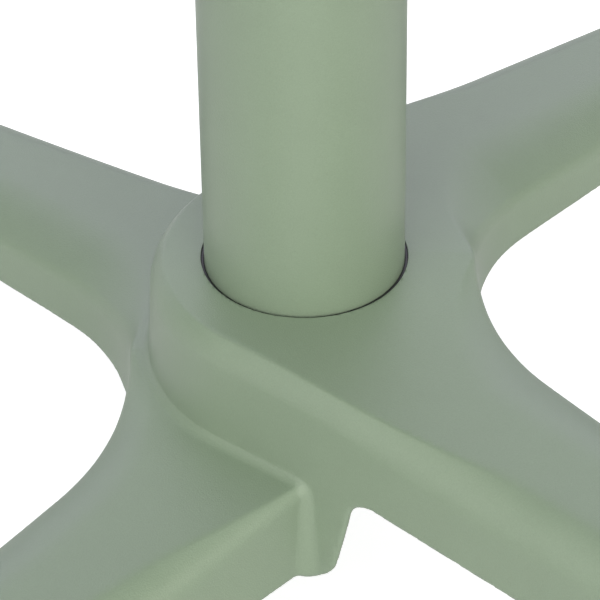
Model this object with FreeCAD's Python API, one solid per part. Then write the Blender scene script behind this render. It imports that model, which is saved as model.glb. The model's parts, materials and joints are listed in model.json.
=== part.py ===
import FreeCAD
import Part
import math
import os

from FreeCAD import Vector

# Pedestal table base: two stacked V castings in one piece, a round column and a tilting top bracket.
# The frame: origin on the floor under the column, +Z up, +X midway between the two upper legs.

# Heights above the floor
hub_top = 107.0
tier_step = 33.5
plate_top = 720.0

# Column and its socket
column_radius = 30.0
column_wall = 2.0
socket_clearance = 1.0
socket_depth = 40.0
boss_radius = 36.0
boss_proud = 1.0

# Leg plan: a straight outer wall at leg_angle from X and wall_offset from the axis, and an inner edge
# that leaves the round notch at a small angle to it, so that the leg narrows towards its tip
leg_angle = 40.0
wall_offset = 49.5
nose_reach = 46.0
upper_notch_reach = 51.7
upper_notch_radius = 70.8
lower_notch_reach = 54.2
lower_notch_radius = 80.5
leg_taper_deg = 8.6
tip_reach = 285.0
tip_length = 23.0

# Leg section
draft_deg = 3.0
upper_thickness = 29.0
lower_thickness = 30.8
flat_end = 30.0
top_slope = 0.09
bottom_slope = 0.105
bottom_twist = 0.00146
crown_radius_hub = 4.0
crown_radius_leg = 13.0
crown_start = 18.0
crown_length = 45.0
shoulder_hub = 10.0
shoulder_leg = 28.0
shoulder_length = 40.0
shoulder_drop = 8.8
rim_radius = 2.0
casting_wall = 5.0
rib_thickness = 4.0
pocket_start = 76.0
pocket_end = 236.0
pocket_count = 4
leg_stations = 9
station_growth = 1.5
tip_shares = (0.34, 0.64, 0.87, 0.97)
tip_edge_share = 0.6
tip_width_share = 0.3
crown_share = 0.8
shoulder_share = 0.9

# Web at the crossing of the tiers, and the posts under the tips
web_depth = 37.4
web_reach = 4.1
web_lean = 9.4
web_round = 17.0
web_overrun = 5.0
under_share = 1.5
foot_inset = 24.0
post_radius = 16.5
post_draft_deg = 3.0
post_overlap = 16.0

# Tie rod that clamps base, column and head
rod_radius = 6.0
rod_hole_clearance = 0.5
rod_engagement = 22.0
rod_end_relief = 10.0
rod_proud = 1.0
nut_recess_radius = 16.0
nut_recess_depth = 14.0
nut_across_flats = 19.0
nut_height = 10.0
washer_radius = 14.0
washer_thickness = 2.5
dowel_radius = 3.0
dowel_length = 14.0
dowel_inset = 10.0
ring_recess = 0.6
ring_height = 32.0
plug_height = 12.0

# Levelling feet
foot_height = 14.0
pad_radius = 15.0
pad_rim = 3.0
pad_edge = 1.0
pad_height = 7.0
pad_neck = 9.0
pivot_radius = 3.0
pivot_depth = 4.5
running_fit = 0.05
end_gap = 0.3
wrench_flats = 13.0
wrench_height = 4.5
stem_radius = 4.0
stem_length = 24.0
stem_chamfer = 1.0
insert_radius = 6.5
insert_length = 16.0
stem_relief = 1.0

# Head casting on the column
spigot_gap = 0.3
spigot_length = 45.0
collar_height = 12.0
head_gap = 24.0
beam_start = -80.0
beam_end = 30.0
beam_width = 44.0
beam_height = 26.0
beam_corner = 8.0
beam_wall = 5.0
hinge_x = 38.0
hinge_drop = 13.0
hinge_radius = 5.0
knuckle_radius = 11.0
ear_thickness = 7.0
ear_gap = 0.5
knuckle_relief = 6.0
bush_wall = 1.5
bush_length = 10.0
clip_thickness = 1.2
clip_wall = 3.0
pin_overhang = 3.0

# Latch at the other end of the head
latch_x = -86.0
latch_drop = 31.0
latch_pin_radius = 3.0
latch_width = 12.0
latch_ear = 5.0
latch_gap = 0.5
latch_boss = 6.5
keeper_radius = 2.0
keeper_lead = 4.0
keeper_drop = 10.0
keeper_ear = 5.0
keeper_gap = 1.0
keeper_boss = 5.0
keeper_pad = 10.0
hook_back = 2.0
hook_tooth = 3.0
hook_gap = 0.3
hook_arm = 5.0
hook_reach = 2.0
hook_relief = 8.0
hook_relief_gap = 1.0
lever_reach = 62.0
lever_drop = 7.0
lever_thickness = 4.0
grip_length = 34.0
grip_wall = 2.5
grip_round = 2.0
spring_radius = 3.5
spring_wire = 0.8
spring_length = 12.0
spring_turns = 6
spring_height = 17.0
tab_thickness = 5.0
tab_margin = 1.0

# Tilting plate
plate_thickness = 6.0
plate_hub = 62.0
plate_arm_width = 34.0
plate_hole_pitch = 250.0
plate_hole_radius = 3.25
plate_rib_height = 8.0
plate_rib_thickness = 5.0
plate_rib_start = 36.0
buffer_radius = 7.0
buffer_height = 10.0
buffer_x = -52.0
buffer_y = 13.0
seat_radius = 9.0

plate_bottom = plate_top - plate_thickness
hinge_z = plate_bottom - hinge_drop
beam_top = plate_bottom - head_gap
beam_bottom = beam_top - beam_height
column_end = beam_bottom - collar_height
dowel_x = column_radius - dowel_inset
latch_z = plate_bottom - latch_drop
keeper_x = latch_x - keeper_lead
keeper_z = plate_bottom - keeper_drop
low_face = hub_top - tier_step - web_depth
nut_seat = low_face - boss_proud + nut_recess_depth
socket_floor = hub_top - socket_depth
lean = math.tan(math.radians(draft_deg))
leg_cos = math.cos(math.radians(leg_angle))
leg_sin = math.sin(math.radians(leg_angle))
far = 2 * tip_reach
up = Vector(0, 0, 1)
origin = Vector(0, 0, 0)

# The nose of the V is a round wall that the two straight outer walls run into
nose_centre = (wall_offset - nose_reach) / (1 - leg_sin)
nose_radius = nose_centre + nose_reach


class Tier:
    """What differs between the two V castings."""

    def __init__(self, thickness, notch_reach, notch_radius):
        self.thickness = thickness
        self.notch_reach = notch_reach
        self.notch_radius = notch_radius


upper_v = Tier(upper_thickness, upper_notch_reach, upper_notch_radius)
lower_v = Tier(lower_thickness, lower_notch_reach, lower_notch_radius)


def wire_of(edges):
    return Part.Wire([edge.toShape() for edge in edges])


def polygon_face(points):
    return Part.Face(Part.makePolygon(points + points[:1]))


def rounded(before, corner, after, radius):
    """Start, middle and end of an arc that rounds a corner between two directions."""
    a = (before - corner).normalize()
    b = (after - corner).normalize()
    half = a.getAngle(b) / 2
    reach = radius / math.tan(half)
    middle = (a + b).normalize() * (radius / math.sin(half) - radius)
    return corner + a * reach, corner + middle, corner + b * reach


def past_flat(s):
    return max(0.0, s - flat_end)


def top_height(s):
    return -top_slope * past_flat(s)


def bottom_height(s, t, tier):
    """Underside of a leg: its inner rim falls less than its outer one."""
    return -tier.thickness - past_flat(s) * (bottom_slope + bottom_twist * (t - wall_offset))


def notch_edge(s, tier):
    """Inner edge of a leg's top: square to the mirror plane, round the notch, then straight."""
    centre_s = (tier.notch_reach + tier.notch_radius) * leg_cos
    centre_t = -(tier.notch_reach + tier.notch_radius) * leg_sin
    taper = math.radians(leg_taper_deg)
    arc_start = tier.notch_reach * leg_cos
    arc_end = centre_s - tier.notch_radius * math.sin(taper)
    if s < arc_start:
        return -tier.notch_reach * leg_sin - (arc_start - s) * leg_cos / leg_sin
    if s < arc_end:
        return centre_t + math.sqrt(tier.notch_radius ** 2 - (s - centre_s) ** 2)
    return centre_t + tier.notch_radius * math.cos(taper) + (s - arc_end) * math.tan(taper)


def grown(s, at_hub, at_leg, length):
    """A size that grows from the hub to the leg."""
    return at_hub + (at_leg - at_hub) * (1 - math.exp(-max(0.0, s) / length))


def shoulder_width(s, tier):
    return grown(s - tier.notch_reach * leg_cos, shoulder_hub, shoulder_leg, shoulder_length)


def leg_section(s, tier, deep):
    """Closed outline of a leg at distance s, in the plane across the leg."""
    run = max(0.0, s - (tip_reach - tip_length))
    shrink = math.sqrt(max(0.0, 1 - (run / tip_length) ** 2))
    z_top = top_height(s) - (1 - shrink) * shoulder_drop
    z_edge = z_top - shoulder_drop * (1 - tip_edge_share * (1 - shrink))
    middle = (wall_offset + notch_edge(s, tier)) / 2
    half = (wall_offset - notch_edge(s, tier)) / 2 * max(shrink, tip_width_share)
    t_wall = middle + half
    t_edge = middle - half
    crown = min(grown(s - crown_start, crown_radius_hub, crown_radius_leg, crown_length),
                half * crown_share)
    shoulder = min(shoulder_width(s, tier), half * shoulder_share)
    low = -tier_step - web_depth
    z_wall_foot = low if deep else bottom_height(s, t_wall, tier)
    z_edge_foot = low if deep else bottom_height(s, t_edge, tier)

    wall_top = Vector(s, t_wall - z_top * lean, z_top)
    wall_foot = Vector(s, t_wall - z_wall_foot * lean, z_wall_foot)
    edge = Vector(s, t_edge, z_edge)
    edge_foot = Vector(s, t_edge - (z_edge - z_edge_foot) * lean, z_edge_foot)
    flat = Vector(s, t_edge + shoulder, z_top)

    drop = z_top - z_edge
    radius = (shoulder ** 2 + drop ** 2) / (2 * drop)
    centre = Vector(s, flat.y, z_top - radius)
    turn = math.asin(min(1.0, shoulder / radius))
    tangent = Vector(0, -math.cos(turn), -math.sin(turn))
    mid_shoulder = centre + Vector(0, -math.sin(turn / 2), math.cos(turn / 2)) * radius

    foot_round = rounded(edge_foot, wall_foot, wall_top, rim_radius)
    crown_round = rounded(wall_foot, wall_top, flat, crown)
    edge_round = rounded(edge - tangent, edge, edge_foot, rim_radius)
    inner_round = rounded(edge, edge_foot, wall_foot, rim_radius)
    return wire_of([
        Part.LineSegment(inner_round[2], foot_round[0]),
        Part.Arc(*foot_round),
        Part.LineSegment(foot_round[2], crown_round[0]),
        Part.Arc(*crown_round),
        Part.LineSegment(crown_round[2], flat),
        Part.Arc(flat, mid_shoulder, edge_round[0]),
        Part.Arc(*edge_round),
        Part.LineSegment(edge_round[2], inner_round[0]),
        Part.Arc(*inner_round),
    ])


def leg(tier, deep):
    """One whole leg along X, at the height of the upper tier, still square-cut at the hub."""
    tip_start = tip_reach - tip_length
    shares = [(k / leg_stations) ** station_growth for k in range(leg_stations + 1)]
    along = [flat_end + (tip_start - flat_end) * share for share in shares]
    tip = [tip_start + tip_length * share for share in tip_shares]
    near = (nose_centre * leg_cos, crown_start, flat_end)
    root = Part.makeLoft([leg_section(s, tier, deep) for s in near], True, True)
    arm = Part.makeLoft([leg_section(s, tier, deep) for s in along + tip], True, False)
    return root.fuse(arm)


def pocket(start, end, tier):
    """Hollow under a leg between two ribs, open at the bottom."""
    wires = []
    for s in (start, (start + end) / 2, end):
        z_top = top_height(s)
        t_in = notch_edge(s, tier)
        z_low = bottom_height(s, wall_offset, tier) - casting_wall
        z_edge = z_top - shoulder_drop - casting_wall
        t_flat = min(t_in + shoulder_width(s, tier), wall_offset - crown_radius_leg - casting_wall)
        corners = [
            (t_in + casting_wall, z_low),
            (wall_offset - z_low * lean - casting_wall, z_low),
            (wall_offset - z_top * lean - casting_wall, z_top - crown_radius_leg),
            (wall_offset - crown_radius_leg, z_top - casting_wall),
            (t_flat, z_top - casting_wall),
            (t_in + casting_wall, z_edge),
        ]
        points = [Vector(s, t, z) for t, z in corners]
        wires.append(Part.makePolygon(points + points[:1]))
    return Part.makeLoft(wires, True, True)


def pockets(tier):
    """The row of hollows under one leg, with a rib between each pair."""
    pitch = (pocket_end - pocket_start) / pocket_count
    cells = []
    for index in range(pocket_count):
        start = pocket_start + index * pitch + rib_thickness / 2
        cells.append(pocket(start, start + pitch - rib_thickness, tier))
    return cells


def turned(shape, angle):
    return shape.rotated(origin, up, angle)


def both_sides(shape):
    return [shape, shape.mirror(origin, Vector(0, 1, 0))]


def end_for_end(shape):
    """The lower V is the upper one turned end for end and set down by a step."""
    return shape.mirror(origin, Vector(1, 0, 0)).translated(Vector(0, 0, -tier_step))


def back_half():
    """Everything behind the mirror plane."""
    return Part.makeBox(2 * far, far, 2 * far, Vector(-far, 0, -far))


def lathe(points):
    """Solid turned about Z from an outline in the XZ plane."""
    return polygon_face([Vector(x, 0, z) for x, z in points]).revolve(origin, up, 360)


def cylinder(radius, height, base):
    return Part.makeCylinder(radius, height, base, up)


def tube(radius, inner, height, base):
    return cylinder(radius, height, base).cut(cylinder(inner, height, base))


def nose():
    """Round end of the upper V around the column, with the same draft and crown as the legs."""
    low = -tier_step - web_depth
    top = Vector(nose_radius, 0, 0)
    foot = Vector(nose_radius - low * lean, 0, low)
    crown = rounded(foot, top, origin, crown_radius_hub)
    outline = wire_of([
        Part.LineSegment(Vector(0, 0, low), foot),
        Part.LineSegment(foot, crown[0]),
        Part.Arc(*crown),
        Part.LineSegment(crown[2], origin),
        Part.LineSegment(origin, Vector(0, 0, low)),
    ])
    sector = Part.Face(outline).revolve(origin, up, 90 - leg_angle)
    return turned(sector, 90 + leg_angle).translated(Vector(nose_centre, 0, 0))


def space_under_leg():
    """What is open under an upper leg, from the end of the web outwards."""
    low = -tier_step - web_depth - web_overrun
    high = -upper_thickness + web_overrun
    corner = Vector(web_reach, 0, -tier_step - web_depth)
    start = corner - Vector(web_round, 0, 0)
    above = Vector(web_reach + web_lean, 0, high)
    arc = rounded(start, corner, above, web_round)
    face = Part.Face(wire_of([
        Part.LineSegment(Vector(arc[0].x, 0, low), arc[0]),
        Part.Arc(*arc),
        Part.LineSegment(arc[2], above),
        Part.LineSegment(above, Vector(far, 0, high)),
        Part.LineSegment(Vector(far, 0, high), Vector(far, 0, low)),
        Part.LineSegment(Vector(far, 0, low), Vector(arc[0].x, 0, low)),
    ]))
    face.translate(Vector(0, -far, 0))
    beyond_web = face.extrude(Vector(0, 2 * far, 0))
    across = under_share * wall_offset
    wires = []
    for s in (-far, flat_end, far):
        points = [
            Vector(s, -across, bottom_height(s, -across, upper_v)),
            Vector(s, across, bottom_height(s, across, upper_v)),
            Vector(s, across, -far),
            Vector(s, -across, -far),
        ]
        wires.append(Part.makePolygon(points + points[:1]))
    below_leg = Part.makeLoft(wires, True, True)
    return beyond_web.common(turned(below_leg, leg_angle))


def tip_centre(upper, side):
    """Middle of a leg's tip in plan."""
    s = tip_reach - foot_inset
    t = (wall_offset + notch_edge(s, upper_v if upper else lower_v)) / 2
    x = s * leg_cos - t * leg_sin
    y = s * leg_sin + t * leg_cos
    return Vector(x if upper else -x, y * side, 0)


def feet_places():
    """Centre of each foot in plan, with the name of its corner."""
    names = {(True, 1): "back_right", (True, -1): "front_right",
             (False, 1): "back_left", (False, -1): "front_left"}
    return {name: tip_centre(*key) for key, name in names.items()}


def leg_posts():
    """Tapered posts down from the four tips to the feet."""
    posts = []
    for upper in (True, False):
        height = hub_top - foot_height - post_overlap - top_slope * tip_reach
        height = height if upper else height - tier_step
        flare = height * math.tan(math.radians(post_draft_deg))
        for side in (1, -1):
            foot = tip_centre(upper, side) + Vector(0, 0, foot_height)
            posts.append(Part.makeCone(post_radius, post_radius + flare, height, foot))
    return posts


def socket_cuts():
    """Column socket, tie rod hole, nut recess and dowel hole, on the column axis."""
    return [
        cylinder(column_radius + socket_clearance, socket_depth, Vector(0, 0, socket_floor)),
        cylinder(rod_radius + rod_hole_clearance, hub_top, origin),
        cylinder(nut_recess_radius, nut_recess_depth, Vector(0, 0, nut_seat - nut_recess_depth)),
        cylinder(dowel_radius, dowel_length, Vector(dowel_x, 0, socket_floor - dowel_length / 2)),
    ]


def foot_cuts(place):
    """Hole for a threaded insert, and the clearance hole that the stem's end goes up into."""
    base = place + Vector(0, 0, foot_height)
    reach = pad_height + wrench_height + end_gap + stem_length + stem_relief - foot_height
    return [
        cylinder(insert_radius, insert_length, base),
        cylinder(stem_radius + stem_relief, reach, base),
    ]


def base_casting():
    back = back_half()
    deep = turned(leg(upper_v, True), leg_angle).common(back)
    upper = both_sides(deep.fuse(nose()).cut(space_under_leg()))
    inner_core = Part.makeBox(2 * far, 2 * far, 2 * far, Vector(web_reach / 2 - 2 * far, -far, -far))
    plain = turned(leg(lower_v, False), leg_angle).common(back)
    lower = both_sides(end_for_end(plain).common(inner_core))
    boss_low = low_face - boss_proud - hub_top
    boss = cylinder(boss_radius, tier_step + web_depth - crown_radius_leg, Vector(0, 0, boss_low))
    body = upper[0].fuse(upper[1])
    body = body.fuse(lower[0].fuse(lower[1])).fuse(boss)
    for cell in pockets(upper_v):
        for shape in both_sides(turned(cell, leg_angle)):
            body = body.cut(shape)
    for cell in pockets(lower_v):
        for shape in both_sides(end_for_end(turned(cell, leg_angle))):
            body = body.cut(shape)
    body.translate(Vector(0, 0, hub_top))
    for post in leg_posts():
        body = body.fuse(post)
    for place in feet_places().values():
        for hole in foot_cuts(place):
            body = body.cut(hole)
    for cut in socket_cuts():
        body = body.cut(cut)
    return body


def thread_inserts():
    bore = stem_radius + running_fit
    places = feet_places().values()
    rings = [tube(insert_radius, bore, insert_length, place + Vector(0, 0, foot_height)) for place in places]
    return Part.makeCompound(rings)


def hexagon(across_flats, height, base):
    radius = across_flats / math.sqrt(3)
    corners = [turned(Part.Vertex(radius, 0, 0), 60 * k).Point for k in range(6)]
    return polygon_face(corners).extrude(Vector(0, 0, height)).translated(base)


def glide_pad(place):
    """Plastic foot: a disc with a coned top and a blind hole for the stem's pivot."""
    outline = [
        (0, 0), (pad_radius - pad_edge, 0), (pad_radius, pad_edge), (pad_radius, pad_rim),
        (pad_neck, pad_height), (0, pad_height),
    ]
    depth = pivot_depth + end_gap
    hole = cylinder(pivot_radius + running_fit, depth, Vector(0, 0, pad_height - depth))
    return lathe(outline).cut(hole).translated(place)


def glide_stem(place):
    """Steel stem: pivot in the pad, wrench hexagon, and the threaded part up to the insert."""
    hexa_base = pad_height + end_gap
    shank_base = hexa_base + wrench_height
    stem_top = shank_base + stem_length
    pivot = cylinder(pivot_radius, pivot_depth + end_gap, Vector(0, 0, pad_height - pivot_depth))
    hexa = hexagon(wrench_flats, wrench_height, Vector(0, 0, hexa_base))
    shank = cylinder(stem_radius, stem_length - stem_chamfer, Vector(0, 0, shank_base))
    end = Part.makeCone(stem_radius, stem_radius - stem_chamfer, stem_chamfer,
                        Vector(0, 0, stem_top - stem_chamfer))
    return pivot.fuse([hexa, shank, end]).removeSplitter().translated(place)


def column_parts():
    parts = {}
    inner = column_radius - column_wall
    foot = Vector(0, 0, socket_floor)
    parts["column_tube"] = tube(column_radius, inner, column_end - socket_floor, foot)
    dowel_base = Vector(dowel_x, 0, socket_floor - dowel_length / 2)
    parts["locating_dowel"] = cylinder(dowel_radius, dowel_length, dowel_base)
    plug = tube(inner, rod_radius + rod_hole_clearance, plug_height, foot)
    parts["column_plug"] = plug.cut(parts["locating_dowel"])
    parts["centring_ring"] = tube(column_radius + socket_clearance, column_radius, ring_height,
                                  Vector(0, 0, hub_top - ring_recess - ring_height))
    washer_low = nut_seat - washer_thickness
    nut_low = washer_low - nut_height
    rod_low = nut_low - rod_proud
    rod_top = column_end - spigot_length + rod_engagement
    parts["tie_rod"] = cylinder(rod_radius, rod_top - rod_low, Vector(0, 0, rod_low))
    parts["tie_rod_washer"] = tube(washer_radius, rod_radius + rod_hole_clearance, washer_thickness,
                                   Vector(0, 0, washer_low))
    nut = hexagon(nut_across_flats, nut_height, Vector(0, 0, nut_low))
    parts["tie_rod_nut"] = nut.cut(cylinder(rod_radius, nut_height, Vector(0, 0, nut_low)))
    return parts


def block(x0, x1, y0, y1, z0, z1):
    return Part.makeBox(x1 - x0, y1 - y0, z1 - z0, Vector(x0, y0, z0))


def upright_edges(shape):
    return [edge for edge in shape.Edges
            if edge.BoundBox.XLength < 1e-6 and edge.BoundBox.YLength < 1e-6]


def y_cylinder(radius, y0, y1, x, z):
    return Part.makeCylinder(radius, y1 - y0, Vector(x, y0, z), Vector(0, 1, 0))


def side_span(inner, thickness, side):
    """Near and far Y of a lug on one side of the mirror plane."""
    return sorted((inner * side, (inner + thickness) * side))


def ear(inner, thickness, side, x, z, radius, foot):
    """Lug with a round head about a pin along Y, standing on or hanging from height foot."""
    y0, y1 = side_span(inner, thickness, side)
    low, high = sorted((z, foot))
    return y_cylinder(radius, y0, y1, x, z).fuse(block(x - radius, x + radius, y0, y1, low, high))


def head_casting():
    half = beam_width / 2
    inner = half - ear_thickness
    knuckle_near = hinge_x - knuckle_radius - knuckle_relief
    beam = block(beam_start, beam_end, -half, half, beam_bottom, beam_top)
    beam = beam.makeFillet(beam_corner, upright_edges(beam))
    hollow = block(beam_start + beam_wall, -column_radius, -half + beam_wall, half - beam_wall,
                   beam_bottom, beam_top - beam_wall)
    collar = cylinder(column_radius, collar_height + beam_height / 2, Vector(0, 0, column_end))
    spigot = cylinder(column_radius - column_wall - spigot_gap, spigot_length,
                      Vector(0, 0, column_end - spigot_length))
    body = beam.cut(hollow).fuse([collar, spigot])
    latch_in = latch_width / 2 + latch_gap
    for side in (1, -1):
        lug = ear(inner, ear_thickness, side, hinge_x, hinge_z, knuckle_radius, beam_bottom + beam_wall)
        y0, y1 = side_span(inner, ear_thickness, side)
        root = block(beam_end - 2 * beam_corner, hinge_x, y0, y1, beam_bottom + beam_wall, beam_top)
        body = body.fuse([lug, root])
        lug = ear(latch_in, latch_ear, side, latch_x, latch_z, latch_boss, latch_z - latch_boss)
        y0, y1 = side_span(latch_in, latch_ear, side)
        arm = block(latch_x, beam_start + 2 * beam_wall, y0, y1, latch_z - latch_boss, latch_z + latch_boss)
        body = body.fuse([lug, arm])
    tab_x = latch_x + hook_back + hook_arm + spring_length
    tab_top = latch_z + spring_height + spring_radius + tab_margin
    body = body.fuse(block(tab_x, tab_x + tab_thickness, -latch_width / 2, latch_width / 2,
                           beam_top - beam_wall, tab_top))
    body = body.cut(block(knuckle_near, 2 * hinge_x, -inner, inner, beam_top - knuckle_relief, plate_top))
    body = body.cut(block(beam_start - beam_wall, beam_start + hook_relief, -latch_in, latch_in,
                          latch_z - latch_boss - hook_relief_gap, beam_top))
    body = body.cut(y_cylinder(hinge_radius, -half, half, hinge_x, hinge_z))
    body = body.cut(y_cylinder(latch_pin_radius, -half, half, latch_x, latch_z))
    thread = cylinder(rod_radius, rod_engagement + rod_end_relief, Vector(0, 0, column_end - spigot_length))
    return body.cut(thread).removeSplitter()


def pin_with_clips(radius, half_span, x, z):
    """Plain pin along Y and the two clips outside the ears that it passes through."""
    reach = half_span + pin_overhang
    pin = y_cylinder(radius, -reach, reach, x, z)
    clips = []
    for side in (1, -1):
        y0, y1 = side_span(half_span + end_gap, clip_thickness, side)
        clips.append(y_cylinder(radius + clip_wall, y0, y1, x, z).cut(y_cylinder(radius, y0, y1, x, z)))
    return pin, Part.makeCompound(clips)


def plate_arm(angle):
    """Flat arm of the plate with a round end, and the rib under it with a boss round the screw hole."""
    reach = plate_hole_pitch / math.sqrt(2)
    half = plate_arm_width / 2
    rib_low = plate_bottom - plate_rib_height
    bar = block(0, reach, -half, half, plate_bottom, plate_top)
    end = cylinder(half, plate_thickness, Vector(reach, 0, plate_bottom))
    rib = block(plate_rib_start, reach, -plate_rib_thickness / 2, plate_rib_thickness / 2,
                rib_low, plate_bottom)
    boss = cylinder(plate_hole_radius + plate_rib_thickness / 2, plate_rib_height, Vector(reach, 0, rib_low))
    hole = cylinder(plate_hole_radius, plate_thickness + plate_rib_height, Vector(reach, 0, rib_low))
    return turned(bar.fuse([end, rib, boss]), angle), turned(hole, angle)


def tilt_plate():
    """Cast spider that carries the table top: hub, four arms with ribs, knuckle and keeper lugs."""
    body = cylinder(plate_hub, plate_thickness, Vector(0, 0, plate_bottom))
    holes = []
    for quarter in range(4):
        arm, hole = plate_arm(45 + 90 * quarter)
        body = body.fuse(arm)
        holes.append(hole)
    inner = beam_width / 2 - ear_thickness - ear_gap
    knuckle = y_cylinder(knuckle_radius, -inner, inner, hinge_x, hinge_z)
    bridge = block(hinge_x - knuckle_radius, hinge_x + knuckle_radius, -inner, inner,
                   hinge_z, plate_bottom)
    lug_in = latch_width / 2 + keeper_gap
    outer = lug_in + keeper_ear
    strip = block(keeper_x - keeper_boss - keeper_pad, 0, -outer - keeper_ear, outer + keeper_ear,
                  plate_bottom, plate_top)
    body = body.fuse([knuckle, bridge, strip])
    seat_low = beam_top + buffer_height + end_gap
    for side in (1, -1):
        body = body.fuse(ear(lug_in, keeper_ear, side, keeper_x, keeper_z, keeper_boss, plate_bottom))
        body = body.fuse(cylinder(seat_radius, plate_bottom - seat_low,
                                  Vector(buffer_x, side * buffer_y, seat_low)))
    holes.append(y_cylinder(hinge_radius + bush_wall, -inner, inner, hinge_x, hinge_z))
    holes.append(y_cylinder(keeper_radius, -outer, outer, keeper_x, keeper_z))
    for hole in holes:
        body = body.cut(hole)
    return body.removeSplitter()


def keeper_pin():
    reach = latch_width / 2 + keeper_gap + keeper_ear
    return y_cylinder(keeper_radius, -reach, reach, keeper_x, keeper_z)


def on_lever(shape):
    """Turned about the latch pin, so that the handle points a little down."""
    drop = math.degrees(math.atan2(lever_drop, lever_reach))
    return shape.rotated(Vector(latch_x, 0, latch_z), Vector(0, 1, 0), -drop)


def latch_lever():
    """Hook above the keeper and handle on one lever that turns about the latch pin."""
    half = latch_width / 2
    tall = lever_thickness / 2
    tooth_low = keeper_z + keeper_radius + hook_gap
    tooth_top = tooth_low + hook_tooth
    arm_x = latch_x + hook_back
    arm = block(arm_x, arm_x + hook_arm, -half, half, latch_z, tooth_top)
    tooth = block(keeper_x - hook_reach, arm_x + hook_arm, -half, half, tooth_low, tooth_top)
    boss = y_cylinder(latch_boss, -half, half, latch_x, latch_z)
    handle = on_lever(block(latch_x - lever_reach, latch_x, -half, half, latch_z - tall, latch_z + tall))
    bore = y_cylinder(latch_pin_radius + running_fit, -half, half, latch_x, latch_z)
    return boss.fuse([arm, tooth, handle]).cut(bore).removeSplitter()


def lever_grip():
    """Plastic sleeve closed at its end, over the end of the latch handle."""
    half = latch_width / 2 + grip_wall
    tall = lever_thickness / 2 + grip_wall
    end = latch_x - lever_reach
    sleeve = block(end - grip_wall, end + grip_length, -half, half, latch_z - tall, latch_z + tall)
    sleeve = sleeve.makeFillet(grip_round, sleeve.Edges)
    inside = block(end, end + 2 * grip_length, -latch_width / 2, latch_width / 2,
                   latch_z - lever_thickness / 2, latch_z + lever_thickness / 2)
    return on_lever(sleeve.cut(inside))


def latch_spring():
    """Compression spring along X between the head's tab and the back of the hook."""
    mean = spring_radius - spring_wire / 2
    length = spring_length - spring_wire - 2 * end_gap
    helix = Part.makeHelix(length / spring_turns, length, mean)
    section = Part.Wire(Part.makeCircle(spring_wire / 2, Vector(mean, 0, 0), Vector(0, 1, 0)))
    coil = Part.Wire(helix.Edges).makePipeShell([section], True, True)
    start = latch_x + hook_back + hook_arm + spring_wire / 2 + end_gap
    coil.Placement = FreeCAD.Placement(Vector(start, 0, latch_z + spring_height),
                                       FreeCAD.Rotation(up, Vector(1, 0, 0)))
    return coil


def hinge_bushes():
    inner = beam_width / 2 - ear_thickness - ear_gap
    rings = []
    for y0 in (-inner, inner - bush_length):
        y1 = y0 + bush_length
        outer = y_cylinder(hinge_radius + bush_wall, y0, y1, hinge_x, hinge_z)
        rings.append(outer.cut(y_cylinder(hinge_radius + running_fit, y0, y1, hinge_x, hinge_z)))
    return Part.makeCompound(rings)


def plate_buffers():
    places = [Vector(buffer_x, side * buffer_y, beam_top) for side in (1, -1)]
    return Part.makeCompound([cylinder(buffer_radius, buffer_height, place) for place in places])


def all_parts():
    parts = {"base_casting": base_casting(), "thread_inserts": thread_inserts()}
    parts.update(column_parts())
    parts["head_casting"] = head_casting()
    parts["hinge_pin"], parts["hinge_clips"] = pin_with_clips(hinge_radius, beam_width / 2,
                                                              hinge_x, hinge_z)
    parts["hinge_bushes"] = hinge_bushes()
    latch_span = latch_width / 2 + latch_gap + latch_ear
    parts["latch_pin"], parts["latch_clips"] = pin_with_clips(latch_pin_radius, latch_span,
                                                              latch_x, latch_z)
    parts["latch_lever"] = latch_lever()
    parts["lever_grip"] = lever_grip()
    parts["latch_spring"] = latch_spring()
    parts["plate_buffers"] = plate_buffers()
    parts["tilt_plate"] = tilt_plate()
    parts["keeper_pin"] = keeper_pin()
    for name, place in feet_places().items():
        parts["glide_pad_" + name] = glide_pad(place)
        parts["glide_stem_" + name] = glide_stem(place)
    return parts


os.makedirs("parts", exist_ok=True)
for node, shape in all_parts().items():
    print(node, shape.isValid(), len(shape.Solids), round(shape.Volume, 1))
    shape.exportStep("parts/" + node + ".step")
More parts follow.
